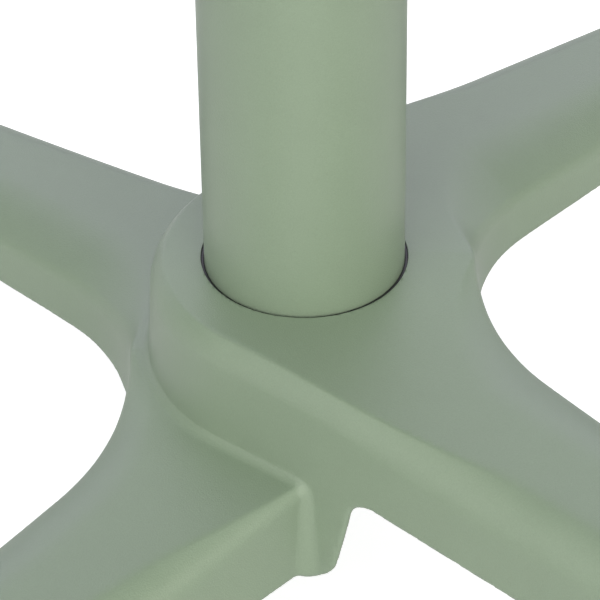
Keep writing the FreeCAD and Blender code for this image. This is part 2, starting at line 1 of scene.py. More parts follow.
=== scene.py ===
import json
import math
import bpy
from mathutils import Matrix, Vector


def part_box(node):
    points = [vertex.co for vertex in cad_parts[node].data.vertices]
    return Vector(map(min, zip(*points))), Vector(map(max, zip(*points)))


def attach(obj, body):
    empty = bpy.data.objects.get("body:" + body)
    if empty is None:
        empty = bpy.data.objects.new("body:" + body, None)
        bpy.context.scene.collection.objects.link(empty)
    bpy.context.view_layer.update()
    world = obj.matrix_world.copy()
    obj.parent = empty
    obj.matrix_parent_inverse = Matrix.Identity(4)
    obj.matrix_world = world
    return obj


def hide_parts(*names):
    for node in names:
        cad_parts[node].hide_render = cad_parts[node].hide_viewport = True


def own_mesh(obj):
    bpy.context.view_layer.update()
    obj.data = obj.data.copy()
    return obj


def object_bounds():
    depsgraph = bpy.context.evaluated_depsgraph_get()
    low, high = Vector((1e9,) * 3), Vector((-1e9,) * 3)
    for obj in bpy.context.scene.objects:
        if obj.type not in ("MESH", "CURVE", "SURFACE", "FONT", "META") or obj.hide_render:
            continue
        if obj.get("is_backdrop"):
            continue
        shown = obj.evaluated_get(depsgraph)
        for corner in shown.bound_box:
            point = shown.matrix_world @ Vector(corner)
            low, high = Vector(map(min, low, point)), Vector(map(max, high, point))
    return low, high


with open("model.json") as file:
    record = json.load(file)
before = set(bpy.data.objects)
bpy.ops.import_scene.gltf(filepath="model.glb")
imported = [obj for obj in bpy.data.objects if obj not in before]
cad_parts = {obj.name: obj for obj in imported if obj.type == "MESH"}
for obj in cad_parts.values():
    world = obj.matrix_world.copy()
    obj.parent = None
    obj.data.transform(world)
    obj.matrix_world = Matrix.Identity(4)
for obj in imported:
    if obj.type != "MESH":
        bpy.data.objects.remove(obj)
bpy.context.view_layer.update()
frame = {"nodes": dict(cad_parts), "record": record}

from types import SimpleNamespace

import bmesh
import bpy
import numpy as np
from mathutils import Matrix, Vector

millimetre = 0.001
print("stage: frame loaded")


def opened(values):  # a dictionary whose entries read as names
    return SimpleNamespace(**values)


# Camera, aimed at the rim of the column's socket
cameraValues = {
    "pitchDeg": 37.36,      # below the horizon
    "rollDeg": -0.76,
    "yawDeg": -0.8,         # about the column
    "lens": 198.85,
    "sensor": 36,
    "distance": 0.9905,     # to the middle of the socket's rim
    "aimRight": -0.00131,
    "aimUp": -0.01369,
    "nearest": 0.05,
    "furthest": 50,
}


def makeCamera(values):
    pitch = math.radians(values.pitchDeg)
    roll = math.radians(values.rollDeg)
    forward = Vector((0, math.cos(pitch), -math.sin(pitch)))
    right = Vector((1, 0, 0))
    up = right.cross(forward)
    rolledRight = right * math.cos(roll) + up * math.sin(roll)
    rolledUp = up * math.cos(roll) - right * math.sin(roll)
    place = rolledRight * values.aimRight + rolledUp * values.aimUp - forward * values.distance
    turn = Matrix((rolledRight, rolledUp, -forward)).transposed().to_4x4()
    yaw = Matrix.Rotation(math.radians(values.yawDeg), 4, "Z")
    target = Vector((0, 0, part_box("base_casting")[1].z))
    data = bpy.data.cameras.new("photoCamera")
    data.lens = values.lens
    data.sensor_width = values.sensor
    data.clip_start = values.nearest
    data.clip_end = values.furthest
    cameraObject = bpy.data.objects.new("photoCamera", data)
    cameraObject.matrix_world = Matrix.Translation(target) @ yaw @ Matrix.Translation(place) @ turn
    bpy.context.scene.collection.objects.link(cameraObject)
    bpy.context.scene.camera = cameraObject


makeCamera(opened(cameraValues))
print("stage: camera")


# Shader maths: an expression on values adds its own Math nodes
class Value:
    def __init__(self, tree, socket):
        self.tree = tree
        self.socket = socket

    def mathNode(self, operation, other, clamp=False):
        node = self.tree.nodes.new("ShaderNodeMath")
        node.operation = operation
        node.use_clamp = clamp
        self.tree.links.new(self.socket, node.inputs[0])
        if isinstance(other, Value):
            self.tree.links.new(other.socket, node.inputs[1])
        else:
            node.inputs[1].default_value = other
        return Value(self.tree, node.outputs[0])

    def __add__(self, other):
        return self.mathNode("ADD", other)

    def __mul__(self, other):
        return self.mathNode("MULTIPLY", other)

    def __sub__(self, other):
        return self.mathNode("SUBTRACT", other)

    def __rsub__(self, other):
        return self.mathNode("MULTIPLY", -1.0) + other

    __radd__ = __add__
    __rmul__ = __mul__

    def clamped(self):
        return self.mathNode("ADD", 0.0, clamp=True)


class Nodes:  # a node tree, with one method that adds any node
    def __init__(self, owner, shader):
        owner.use_nodes = True
        self.owner = owner
        self.tree = owner.node_tree
        self.shader = self.tree.nodes[shader]

    def add(self, kind, settings=(), output=0, **sockets):
        node = self.tree.nodes.new(kind)
        for name, item in dict(settings).items():
            setattr(node, name, item)
        for name, item in sockets.items():
            self.feed(node.inputs[name.replace("_", " ")], item)
        return Value(self.tree, node.outputs[output])

    def feed(self, socket, item):
        if isinstance(item, Value):
            self.tree.links.new(item.socket, socket)
        else:
            socket.default_value = item

    def blend(self, share, first, second):
        mix = self.add("ShaderNodeMix", {"data_type": "RGBA"}, output=2)
        for number, item in zip((0, 6, 7), (share, first, second)):
            self.feed(mix.socket.node.inputs[number], item)
        return mix

    def vector(self, operation, first, second, output="Vector"):
        node = self.add("ShaderNodeVectorMath", {"operation": operation}, output=output)
        for number, item in enumerate((first, second)):
            self.feed(node.socket.node.inputs[number], item)
        return node

    def noise(self, scale, detail=2.0):
        place = self.add("ShaderNodeTexCoord", output="Object")
        return self.add("ShaderNodeTexNoise", Vector=place, Scale=scale, Detail=detail)

    def finish(self, **sockets):
        for name, item in sockets.items():
            self.feed(self.shader.inputs[name.replace("_", " ")], item)
        return self.owner


def paint(name):
    return Nodes(bpy.data.materials.new(name), "Principled BSDF")


# Solids as distance fields in millimetres, negative inside, and how their surfaces are found
fieldValues = {
    "slopeStep": 0.04,    # to each side of a point
    "softness": 0.05,     # keeps a corner point near the middle where its planes are nearly parallel
    "leeway": 0.3,        # of a cell that a corner point may leave it by
    "halvings": 8,
    "moves": 2,           # of each point onto the surface
    "cornerShare": 0.8,   # a corner's normal is read this far out from the middle of its face
    "below": 1.37,        # cells beyond a piece's box, not whole, so that no grid line lies in a face
    "above": 1.6,
}


def inBoth(a, b, radius):  # with a rounded outer edge
    corner = np.hypot(np.maximum(a + radius, 0), np.maximum(b + radius, 0))
    return np.minimum(-radius, np.maximum(a, b)) + corner


def inEither(a, b, radius):  # with a fillet between them
    corner = np.hypot(np.maximum(radius - a, 0), np.maximum(radius - b, 0))
    return np.maximum(radius, np.minimum(a, b)) - corner


def without(a, b, radius):
    return inBoth(a, -b, radius)


def wedge(x, y, apex, halfDeg):  # plan distance to a V that opens towards +X
    half = math.radians(halfDeg)
    along = (x - apex) * math.cos(half) + y * math.sin(half)
    off = y * math.cos(half) - (x - apex) * math.sin(half)
    return np.where((along > 0) | (off < 0), off, np.hypot(x - apex, y))


def graded(limit, fineLimit, fine, coarse):  # grid lines, close together near the middle
    lines = [0.0]
    while lines[-1] < limit:
        share = min(1.0, max(0.0, (lines[-1] - fineLimit) / fineLimit))
        lines.append(lines[-1] + fine + (coarse - fine) * share)
    return np.array([-v for v in reversed(lines[1:])] + lines)


def fieldSlope(field, points):
    slope = np.zeros_like(points)
    for axis in range(3):
        shift = fieldValues["slopeStep"] * np.eye(3)[axis]
        slope[:, axis] = field(*(points + shift).T) - field(*(points - shift).T)
    return slope / np.maximum(np.linalg.norm(slope, axis=1), 1e-9)[:, None]


# One point per cell, where the tangent planes at its crossings meet, so that sharp edges stay sharp
def cornerPoints(field, points, cells, count, low, high):
    slope = fieldSlope(field, points)
    middle = np.stack([np.bincount(cells, points[:, k], count) for k in range(3)], axis=1)
    middle /= np.bincount(cells, minlength=count)[:, None]
    offset = (slope * (points - middle[cells])).sum(axis=1)
    matrix = np.zeros((count, 3, 3))
    vector = np.zeros((count, 3))
    for a in range(3):
        vector[:, a] = np.bincount(cells, slope[:, a] * offset, count)
        for b in range(3):
            matrix[:, a, b] = np.bincount(cells, slope[:, a] * slope[:, b], count)
    matrix += fieldValues["softness"] * np.eye(3)
    moved = middle + np.linalg.solve(matrix, vector[:, :, None])[:, :, 0]
    spare = (high - low) * fieldValues["leeway"]
    return np.clip(moved, low - spare, high + spare)


# Closed surface of a distance field, with one vertex in each grid cell that it crosses
def fieldSurface(field, grid):
    values = field(grid[0][:, None, None], grid[1][None, :, None], grid[2][None, None, :])
    inside = values < 0
    cells = tuple(n - 1 for n in values.shape)
    crossings = []
    owners = []
    quads = []
    for axis in range(3):
        near = [slice(None)] * 3
        away = [slice(None)] * 3
        near[axis] = slice(None, -1)
        away[axis] = slice(1, None)
        crossed = np.argwhere(inside[tuple(near)] != inside[tuple(away)])
        first = values[tuple(crossed.T)]
        points = np.stack([grid[k][crossed[:, k]] for k in range(3)], axis=1)
        step = grid[axis][crossed[:, axis] + 1] - grid[axis][crossed[:, axis]]
        for halving in range(fieldValues["halvings"]):  # closes in on the crossing from its first end
            step = step / 2
            points[:, axis] += step
            beyond = (field(*points.T) < 0) != (first < 0)
            points[:, axis] -= step * beyond
        points[:, axis] += step / 2
        u, v = (axis + 1) % 3, (axis + 2) % 3
        around = []
        for du, dv in ((0, 0), (1, 0), (1, 1), (0, 1)):
            cell = crossed.copy()
            cell[:, u] -= du
            cell[:, v] -= dv
            around.append(np.ravel_multi_index(tuple(cell.T), cells))
            crossings.append(points)
            owners.append(around[-1])
        quad = np.stack(around, axis=1)
        quads.append(np.where((first < 0)[:, None], quad, quad[:, ::-1]))
    used, owners = np.unique(np.concatenate(owners), return_inverse=True)
    places = np.unravel_index(used, cells)
    low = np.stack([grid[k][places[k]] for k in range(3)], axis=1)
    high = np.stack([grid[k][places[k] + 1] for k in range(3)], axis=1)
    points = cornerPoints(field, np.concatenate(crossings), owners, len(used), low, high)
    for move in range(fieldValues["moves"]):
        points -= fieldSlope(field, points) * field(*points.T)[:, None]
    faces = np.searchsorted(used, np.concatenate(quads))
    corners = points[faces]
    share = fieldValues["cornerShare"]
    inward = corners * share + corners.mean(axis=1, keepdims=True) * (1 - share)
    return points, faces, fieldSlope(field, inward.reshape(-1, 3))


def linked(name, mesh):
    piece = bpy.data.objects.new(name, mesh)
    bpy.context.scene.collection.objects.link(piece)
    return piece


def castPiece(name, node, body, finish, *surfaces):  # one mesh of one or more field surfaces
    counts = np.cumsum([0] + [len(surface[0]) for surface in surfaces])
    faces = np.concatenate([surface[1] + count for surface, count in zip(surfaces, counts)])
    points = np.concatenate([surface[0] for surface in surfaces])
    mesh = bpy.data.meshes.new(name)
    mesh.from_pydata((points * millimetre).tolist(), [], faces.tolist())
    mesh.shade_smooth()
    mesh.normals_split_custom_set(np.concatenate([surface[2] for surface in surfaces]).tolist())
    print("stage:", name, len(faces), "faces")
    stand(linked(name, mesh), node, body, finish)


def evenGrid(low, high, step):
    below, above = fieldValues["below"] * step, fieldValues["above"] * step
    return tuple(np.arange(a - below, b + above, step) for a, b in zip(low, high))


def slab(v, low, high):
    return np.maximum(low - v, v - high)


def stand(piece, node, body, finish):  # stands for a CAD node, moves with its body and has its finish
    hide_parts(node)
    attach(piece, body)
    piece.data.materials.clear()
    piece.data.materials.append(finishes[finish])


# Finishes: each has a fine grain and broad clouds, both in its colour and in its roughness
def shades(colour, spread):
    return tuple(v * (1 - spread) for v in colour) + (1,), tuple(v * (1 + spread) for v in colour) + (1,)


def grainFinish(nodes, grain, values, colour, roughness, spread, bump, **sockets):
    values = opened(values)
    fine, broad = grain - 0.5, nodes.noise(values.cloudScale, values.cloudDetail) - 0.5
    tone = (fine * values.toneFine + broad * values.toneBroad + 0.5).clamped()
    rough = (fine * values.roughnessFine + broad * values.roughnessBroad + roughness).clamped()
    dents = nodes.add("ShaderNodeBump", Height=grain, Distance=bump, Strength=1.0)
    mixed = nodes.blend(tone, *shades(colour, spread))
    return nodes.finish(Base_Color=mixed, Roughness=rough, Normal=dents, **sockets)


# Satin powder coat: an orange-peel skin finer than half a millimetre, with broad faint clouds
coatValues = {
    "grainScale": 2300.0, "cloudScale": 60.0, "cloudDetail": 3.0, "toneFine": 0.45, "toneBroad": 0.15,
    "roughness": 0.35, "roughnessFine": 0.2, "roughnessBroad": 0.0, "spread": 0.2, "bump": 0.0001,
}


def powderCoat(name, colour):
    coat, c = paint(name), opened(coatValues)
    return grainFinish(coat, coat.noise(c.grainScale), coatValues, colour, c.roughness, c.spread, c.bump)


# Bare or plated metal: fine tool marks drawn out along one direction, over faint clouds
metalValues = {
    "markScale": 900.0, "markDetail": 3.0, "cloudScale": 160.0, "cloudDetail": 4.0, "toneFine": 0.6,
    "toneBroad": 0.9, "roughnessFine": 0.2, "roughnessBroad": 0.25,
}


def metalFinish(name, colour, roughness, stretch, spread, bump):
    metal, c = paint(name), opened(metalValues)
    place = metal.add("ShaderNodeTexCoord", output="Object")
    drawn = metal.add("ShaderNodeMapping", Vector=place, Scale=stretch)
    marks = metal.add("ShaderNodeTexNoise", Vector=drawn, Scale=c.markScale, Detail=c.markDetail)
    return grainFinish(metal, marks, metalValues, colour, roughness, spread, bump, Metallic=1.0)


# Moulded plastic or rubber: a spark-eroded grain, with a little wear and dust in its clouds
mouldedValues = {
    "cloudScale": 110.0, "cloudDetail": 4.0, "toneFine": 0.5, "toneBroad": 0.8, "roughnessFine": 0.15,
    "roughnessBroad": 0.25,
}


def mouldedFinish(name, colour, roughness, grainScale, spread, bump):
    plastic = paint(name)
    return grainFinish(plastic, plastic.noise(grainScale), mouldedValues, colour, roughness, spread, bump)


sage = (0.229, 0.29, 0.211)
# Each metal has its colour, roughness, stretch of the marks, spread and bump. A plastic has its grain's scale
# in place of the stretch
finishes = {
    "cast_green": powderCoat("castGreen", sage),
    "tube_green": powderCoat("tubeGreen", sage),
    "cast_plain": metalFinish("castPlain", (0.42, 0.42, 0.41), 0.5, (1, 1, 1), 0.2, 0.00005),
    "steel": metalFinish("groundSteel", (0.5, 0.5, 0.5), 0.3, (1, 0.08, 1), 0.12, 0.000004),
    "zinc_steel": metalFinish("zincPlate", (0.6, 0.61, 0.6), 0.34, (1, 1, 0.5), 0.14, 0.000006),
    "spring_steel": metalFinish("oiledSteel", (0.2, 0.2, 0.21), 0.36, (1, 1, 1), 0.2, 0.000008),
    "bearing_plastic": mouldedFinish("bearingPlastic", (0.62, 0.6, 0.53), 0.45, 1500.0, 0.08, 0.000006),
    "black_plastic": mouldedFinish("blackPlastic", (0.014, 0.014, 0.015), 0.45, 1800.0, 0.5, 0.00002),
    "black_rubber": mouldedFinish("blackRubber", (0.012, 0.012, 0.012), 0.7, 1200.0, 0.5, 0.00003),
}


# The foot: two V castings end for end, in one piece, with the column's socket at their crossing
castingValues = {
    "legAngle": 40, "wallOffset": 49.5, "noseReach": 46, "draftDeg": 3, "tipReach": 281.6, "tipRound": 22,
    "taperDeg": 7.8, "topSlope": 0.09, "bottomSlope": 0.105, "bottomTwist": 0.0012,
    "flatEnd": 30, "flatBlend": 14,         # where the top leaves the level, and half the length of that bend
    "crownTurn": 43,                        # degrees that the crown turns at the hub before it meets the top
    "leastHalf": 1, "shoulderShare": 0.9, "crownShare": 0.8,  # of half the leg's width
    "crease": 0.5, "rim": 2, "edge": 0.6, "rootFillet": 5,
    "topFillet": 2.8, "filletGrowth": 25,   # between the tiers, and the depth at which it is the root's
    "filletEnd": 8, "filletFade": 4.5, "filletLeast": 0.01,   # it dies out before the web
    "wall": 5, "pocketFrom": 76, "pocketTo": 236, "pocketPitch": 40, "rib": 4, "pocketRound": 3,
    "webReach": 4.95, "webLean": 0.2, "webRound": 5, "webDepth": 70.9, "webRise": 0.5, "webRiseFrom": 7,
    "webLap": 1,
    "bossRadius": 36, "bossDepth": 71.9, "bossFillet": 3, "bossFilletAt": 68, "bossFilletFade": 6,
    "bossFilletLeast": 0.1,
    "postRadius": 16.5, "postDraftDeg": 3, "postTop": 65.35, "postRound": 4, "postEdge": 1, "postFillet": 6,
    "socketRadius": 31, "socketDepth": 40, "socketEdge": 0.15, "rodHole": 6.5, "recessRadius": 16,
    "recessDepth": 14, "footHoleRadius": 6.5, "footHoleDepth": 22.8, "footHoleEdge": 0.5,
    "cell": 1.3, "cellAtTips": 3.3, "cellHeight": 1.5,   # of the grid that its surface is found on
    "gridX": (216, 56), "gridY": (226, 62),  # half the grid's length, and half that of its fine part
    "gridBelow": 2.1, "gridAbove": 2,
}
# A size that changes along the leg has four numbers: at the hub, on the leg, start and length of the change
tiers = (
    {"drop": 0, "thickness": 29, "notchReach": 51.7, "notchRadius": 70.8,
     "crownFrom": 35, "crownTo": 115, "crown": (13.5, 13.5, 0, 1),
     "shoulder": (2, 32, 40, 22), "shoulderDrop": (1.6, 9.3, 40, 12)},
    {"drop": 33.5, "thickness": 30.8, "notchReach": 54.2, "notchRadius": 80.5,
     "crownFrom": 20, "crownTo": 100, "crown": (5, 13.5, 45, 40),
     "shoulder": (2, 25, 42, 22), "shoulderDrop": (1.6, 9.3, 42, 12)},
)
lean = math.tan(math.radians(castingValues["draftDeg"]))
legCos = math.cos(math.radians(castingValues["legAngle"]))
legSin = math.sin(math.radians(castingValues["legAngle"]))
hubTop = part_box("base_casting")[1].z / millimetre
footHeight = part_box("base_casting")[0].z / millimetre


def grown(s, sizes):
    atHub, atLeg, start, length = sizes
    return atHub + (atLeg - atHub) * (1 - np.exp(-np.maximum(0, s - start) / length))


def footPlaces():  # one foot of each tier, behind the mirror plane: tier number, x, y
    places = []
    for number, corner in enumerate(("back_right", "back_left")):
        low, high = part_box("glide_pad_" + corner)
        middle = (low + high) / 2 / millimetre
        places.append((number, middle.x, middle.y))
    return places


# Shell, underside and pockets of one V: x towards its tips, y from the mirror plane, z from its top
def vCasting(x, y, z, tier, c):
    s = x * legCos + y * legSin
    t = y * legCos - x * legSin
    bend = c.flatBlend
    into = np.clip(s - c.flatEnd + bend, 0, 2 * bend)
    run = into ** 2 / (4 * bend) + np.maximum(0, s - c.flatEnd - bend)
    noseCentre = (c.wallOffset - c.noseReach) / (1 - legSin)
    fromWall = wedge(x, y, noseCentre, c.legAngle) - noseCentre - c.noseReach
    notchCentre = tier.notchReach + tier.notchRadius
    fromEdge = wedge(x, y, notchCentre, c.legAngle + c.taperDeg) - tier.notchRadius
    half = np.maximum(c.leastHalf, (fromEdge - fromWall) / 2)
    top = -c.topSlope * run
    width = np.minimum(grown(s, tier.shoulder), half * c.shoulderShare)
    fall = grown(s, tier.shoulderDrop)
    bend = (width ** 2 + fall ** 2) / (2 * fall)
    into = np.maximum(0, width - fromEdge)
    rise = z - top + bend
    face = np.where(rise > 0, np.hypot(into, rise), into) - bend
    share = np.clip((s - tier.crownFrom) / (tier.crownTo - tier.crownFrom), 0, 1)
    turn = np.radians(c.crownTurn + (90 - c.crownTurn) * share ** 2)
    crown = np.minimum(grown(s, tier.crown), half * c.crownShare)
    tip = s - c.tipReach
    shell = inBoth(fromWall + z * lean, tip, c.tipRound)
    shell = inBoth(shell, z - top - crown * (1 - np.sin(turn)), crown)
    shell = inBoth(shell, face, c.crease)
    inner = (z - top + fall) * lean - fromEdge
    shell = inBoth(shell, inBoth(inner, tip, c.tipRound), c.rim)
    under = -tier.thickness - run * (c.bottomSlope + c.bottomTwist * (t - c.wallOffset)) - z
    cell = np.abs(np.mod(s - c.pocketFrom, c.pocketPitch) - c.pocketPitch / 2)
    cell = cell - (c.pocketPitch - c.rib) / 2
    cell = np.maximum(cell, np.maximum(c.pocketFrom - s, s - c.pocketTo) + c.rib / 2)
    pocket = inBoth(shell + c.wall, cell, c.pocketRound)
    return shell, under, pocket


feet = footPlaces()


def castingField(x, y, z):
    c = opened(castingValues)
    y = np.abs(y)
    h = z - hubTop
    upper, lower = opened(tiers[0]), opened(tiers[1])
    shell, under, pocket = vCasting(x, y, h, upper, c)
    webSide = c.webReach + (h + c.webDepth) * c.webLean
    webFoot = c.webRise * np.maximum(0, x + c.webRiseFrom) - c.webDepth - h
    web = inBoth((x - webSide) / math.hypot(1, c.webLean), webFoot / math.hypot(1, c.webRise), c.webRound)
    body = inBoth(shell, inEither(under, web, c.rootFillet), c.rim)
    body = without(body, pocket, c.edge)
    shell, under, pocket = vCasting(-x, y, h + lower.drop, lower, c)
    leg = without(inBoth(shell, under, c.rim), pocket, c.edge)
    leg = np.maximum(leg, x - webSide + c.webLap)
    deep = np.clip(-(h + lower.drop) / c.filletGrowth, 0, 1)
    fillet = c.topFillet + (c.rootFillet - c.topFillet) * deep
    fillet = fillet * np.clip((c.filletEnd - x) / c.filletFade, c.filletLeast, 1)
    body = inEither(body, leg, fillet)
    axis = np.hypot(x, y)
    boss = inBoth(axis - c.bossRadius, np.maximum(-c.bossDepth - h, h + c.bossDepth / 2), c.edge)
    share = np.clip((h + c.bossFilletAt) / c.bossFilletFade, c.bossFilletLeast, 1)
    body = inEither(body, boss, c.bossFillet * share)
    postDraft = math.tan(math.radians(c.postDraftDeg))
    for number, footX, footY in feet:
        fromFoot = np.hypot(x - footX, y - footY)
        post = fromFoot - c.postRadius - (z - footHeight) * postDraft
        post = inBoth(post, z - c.postTop + (upper, lower)[number].drop, c.postRound)
        post = inBoth(post, footHeight - z, c.postEdge)
        body = inEither(body, post, c.postFillet)
        hole = np.maximum(fromFoot - c.footHoleRadius, z - footHeight - c.footHoleDepth)
        body = without(body, hole, c.footHoleEdge)
    body = without(body, np.maximum(axis - c.socketRadius, -c.socketDepth - h), c.socketEdge)
    body = without(body, axis - c.rodHole, c.edge)
    recess = np.maximum(axis - c.recessRadius, h + c.bossDepth - c.recessDepth)
    return without(body, recess, c.edge)


def castingGrid(c):
    flat = [graded(*size, c.cell, c.cellAtTips) for size in (c.gridX, c.gridY)]
    return *flat, np.arange(footHeight - c.gridBelow, hubTop + c.gridAbove, c.cellHeight)


footSurface = fieldSurface(castingField, castingGrid(opened(castingValues)))
castPiece("footCasting", "base_casting", "base", "cast_green", footSurface)


# Lines that the head, the bracket and the latch turn about or hook on, all along Y
hingeX, hingeZ = 38, 701
latchX, latchZ = -86, 683
keeperX, keeperZ = -90, 704

# Head casting on top of the column: beam with hinge ears and latch ears, collar and spigot
headValues = {
    "cell": 1.3, "beamFrom": -80, "beamTo": 30, "beamHalf": 22, "beamLow": 664, "beamTop": 690,
    "corner": 8, "edge": 2, "fillet": 4, "smallEdge": 1, "rimEdge": 0.8, "boreEdge": 0.6, "pinEdge": 0.4,
    "wall": 5, "hollowCorner": 4, "hollowRound": 2.5,
    "collarRadius": 30, "collarDrop": 12, "collarSink": 8, "spigotRadius": 27.7, "spigotDepth": 45,
    "boreRadius": 6, "boreTop": 639,
    "earRadius": 11, "earInner": 15, "earRoot": 14, "hingeBore": 5,
    "reliefX": 21, "reliefLow": 684, "reliefCorner": 2,
    "latchRadius": 6.5, "latchInner": 6.5, "latchOuter": 11.5, "latchBore": 3, "latchLap": 10,
    "latchFillet": 2,
    "tabFrom": -67, "tabTo": -62, "tabTop": 704.5, "tabHalf": 6, "tabCorner": 1.5, "tabSink": 5,
    "tabFillet": 2.5, "hookFrom": -99, "hookTo": -72, "hookSpare": 1,
}


def headField(x, y, z):
    c = opened(headValues)
    y = np.abs(y)
    axis = np.hypot(x, y)
    beam = inBoth(slab(x, c.beamFrom, c.beamTo), y - c.beamHalf, c.corner)
    beam = inBoth(beam, slab(z, c.beamLow, c.beamTop), c.edge)
    hollow = slab(x, c.beamFrom + c.wall, -c.collarRadius)
    hollow = inBoth(hollow, y - c.beamHalf + c.wall, c.hollowCorner)
    body = without(beam, inBoth(hollow, z - c.beamTop + c.wall, c.hollowRound), c.rimEdge)
    collarLow = c.beamLow - c.collarDrop
    collar = inBoth(axis - c.collarRadius, slab(z, collarLow, c.beamTop - c.collarSink), c.smallEdge)
    body = inEither(body, collar, c.fillet)
    fromHinge = np.hypot(x - hingeX, z - hingeZ)
    earLow = c.beamLow + c.wall
    upright = np.maximum(np.abs(x - hingeX) - c.earRadius, slab(z, earLow, hingeZ))
    root = np.maximum(slab(x, c.earRoot, hingeX), slab(z, earLow, c.beamTop))
    outline = np.minimum(np.minimum(fromHinge - c.earRadius, upright), root)
    ear = inBoth(outline, slab(y, c.earInner, c.beamHalf), c.smallEdge)
    body = inEither(body, ear, c.fillet)
    fromLatch = np.hypot(x - latchX, z - latchZ)
    arm = slab(x, latchX, c.beamFrom + c.latchLap)
    arm = np.maximum(arm, np.abs(z - latchZ) - c.latchRadius)
    outline = np.minimum(fromLatch - c.latchRadius, arm)
    ear = inBoth(outline, slab(y, c.latchInner, c.latchOuter), c.smallEdge)
    body = inEither(body, ear, c.latchFillet)
    tab = inBoth(slab(x, c.tabFrom, c.tabTo), y - c.tabHalf, c.tabCorner)
    tab = inBoth(tab, slab(z, c.beamTop - c.tabSink, c.tabTop), c.smallEdge)
    body = inEither(body, tab, c.tabFillet)
    spigot = slab(z, collarLow - c.spigotDepth, c.beamLow)
    body = np.minimum(body, inBoth(axis - c.spigotRadius, spigot, c.smallEdge))
    relief = inBoth(c.reliefX - x, y - c.earInner, c.reliefCorner)
    body = without(body, inBoth(relief, c.reliefLow - z, c.smallEdge), c.rimEdge)
    relief = inBoth(slab(x, c.hookFrom, c.hookTo), y - c.latchInner, c.smallEdge)
    reliefLow = latchZ - c.latchRadius - c.hookSpare
    body = without(body, np.maximum(relief, reliefLow - z), c.boreEdge)
    body = without(body, fromHinge - c.hingeBore, c.boreEdge)
    body = without(body, fromLatch - c.latchBore, c.pinEdge)
    return without(body, np.maximum(axis - c.boreRadius, z - c.boreTop), c.rimEdge)


def nodeGrid(node, step):
    low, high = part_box(node)
    return evenGrid(low / millimetre, high / millimetre, step)


headSurface = fieldSurface(headField, nodeGrid("head_casting", headValues["cell"]))
castPiece("headCasting", "head_casting", "base", "cast_green", headSurface)


# Tilting bracket under the table top: hub, four arms with ribs, knuckle, keeper lugs and buffer seats
bracketValues = {
    "cell": 1.45, "low": 714, "top": 720, "hubRadius": 62, "edge": 1.2, "sunk": 2, "roundEdge": 1,
    "lowEdge": 0.8, "holeEdge": 0.6, "pinEdge": 0.4, "rootFillet": 2.5,
    "armHalf": 17, "webFillet": 16, "holeReach": 176.78, "holeRadius": 3.25,
    "ribHalf": 2.5, "ribFrom": 36, "ribLow": 706, "ribDraft": 0.04, "ribFillet": 3, "bossRadius": 5.75,
    "bossFillet": 2, "stripTo": -105, "stripHalf": 17, "stripCorner": 6, "stripFillet": 8,
    "knuckleRadius": 11, "knuckleHalf": 14.5, "bushRadius": 6.5,
    "pinRadius": 2, "lugInner": 7, "lugOuter": 12, "lugRadius": 5, "lugFillet": 2,
    "seatX": -52, "seatY": 13, "seatRadius": 9, "seatLow": 700.3,
}


def bracketField(x, y, z):
    c = opened(bracketValues)
    y = np.abs(y)
    s = (np.abs(x) + y) / math.sqrt(2)
    t = np.abs(y - np.abs(x)) / math.sqrt(2)
    fromHole = np.hypot(s - c.holeReach, t)
    arm = np.where(s > c.holeReach, fromHole, t) - c.armHalf
    plan = inEither(np.hypot(x, y) - c.hubRadius, arm, c.webFillet)
    strip = inBoth(slab(x, c.stripTo, 0), y - c.stripHalf, c.stripCorner)
    plan = inEither(plan, strip, c.stripFillet)
    body = inBoth(plan, slab(z, c.low, c.top), c.edge)
    inPlate = z - c.low - c.sunk
    underPlate = np.maximum(c.ribLow - z, inPlate)
    rib = t - c.ribHalf - (z - c.ribLow) * c.ribDraft
    rib = inBoth(rib, slab(s, c.ribFrom, c.holeReach), c.roundEdge)
    rib = inBoth(rib, underPlate, c.lowEdge)
    boss = inBoth(fromHole - c.bossRadius, underPlate, c.lowEdge)
    body = inEither(body, inEither(rib, boss, c.bossFillet), c.ribFillet)
    fromHinge = np.hypot(x - hingeX, z - hingeZ)
    bridge = np.maximum(np.abs(x - hingeX) - c.knuckleRadius, np.maximum(hingeZ - z, inPlate))
    knuckle = np.minimum(fromHinge - c.knuckleRadius, bridge)
    body = inEither(body, inBoth(knuckle, y - c.knuckleHalf, c.roundEdge), c.rootFillet)
    fromKeeper = np.hypot(x - keeperX, z - keeperZ)
    upright = np.maximum(np.abs(x - keeperX) - c.lugRadius, np.maximum(keeperZ - z, inPlate))
    outline = np.minimum(fromKeeper - c.lugRadius, upright)
    lug = inBoth(outline, slab(y, c.lugInner, c.lugOuter), c.lowEdge)
    body = inEither(body, lug, c.lugFillet)
    seat = np.hypot(x - c.seatX, y - c.seatY) - c.seatRadius
    seat = inBoth(seat, np.maximum(c.seatLow - z, inPlate), c.roundEdge)
    body = inEither(body, seat, c.rootFillet)
    body = without(body, fromHole - c.holeRadius, c.holeEdge)
    body = without(body, fromHinge - c.bushRadius, c.holeEdge)
    return without(body, fromKeeper - c.pinRadius, c.pinEdge)


bracketSurface = fieldSurface(bracketField, nodeGrid("tilt_plate", bracketValues["cell"]))
castPiece("tiltBracket", "tilt_plate", "tilt_plate", "cast_green", bracketSurface)


# Latch lever with its hook, and the ribbed grip on its handle
leverValues = {
    "bossRadius": 6.5, "boreRadius": 3.05, "half": 6, "reach": 62, "drop": 7,
    "thickness": 4, "armFrom": -84, "armTo": -79, "hookTo": -92, "hookLow": 706.3, "hookTop": 709.3,
    "handleFillet": 3, "hookFillet": 1.5, "edge": 0.7, "boreEdge": 0.3, "cell": 0.7,
    "gripWall": 2.5, "gripLength": 34, "gripRound": 2, "ribPitch": 4, "ribDepth": 0.45, "gripCell": 0.55,
    "ribsFromEnd": 4, "ribsFromStart": 3,
}


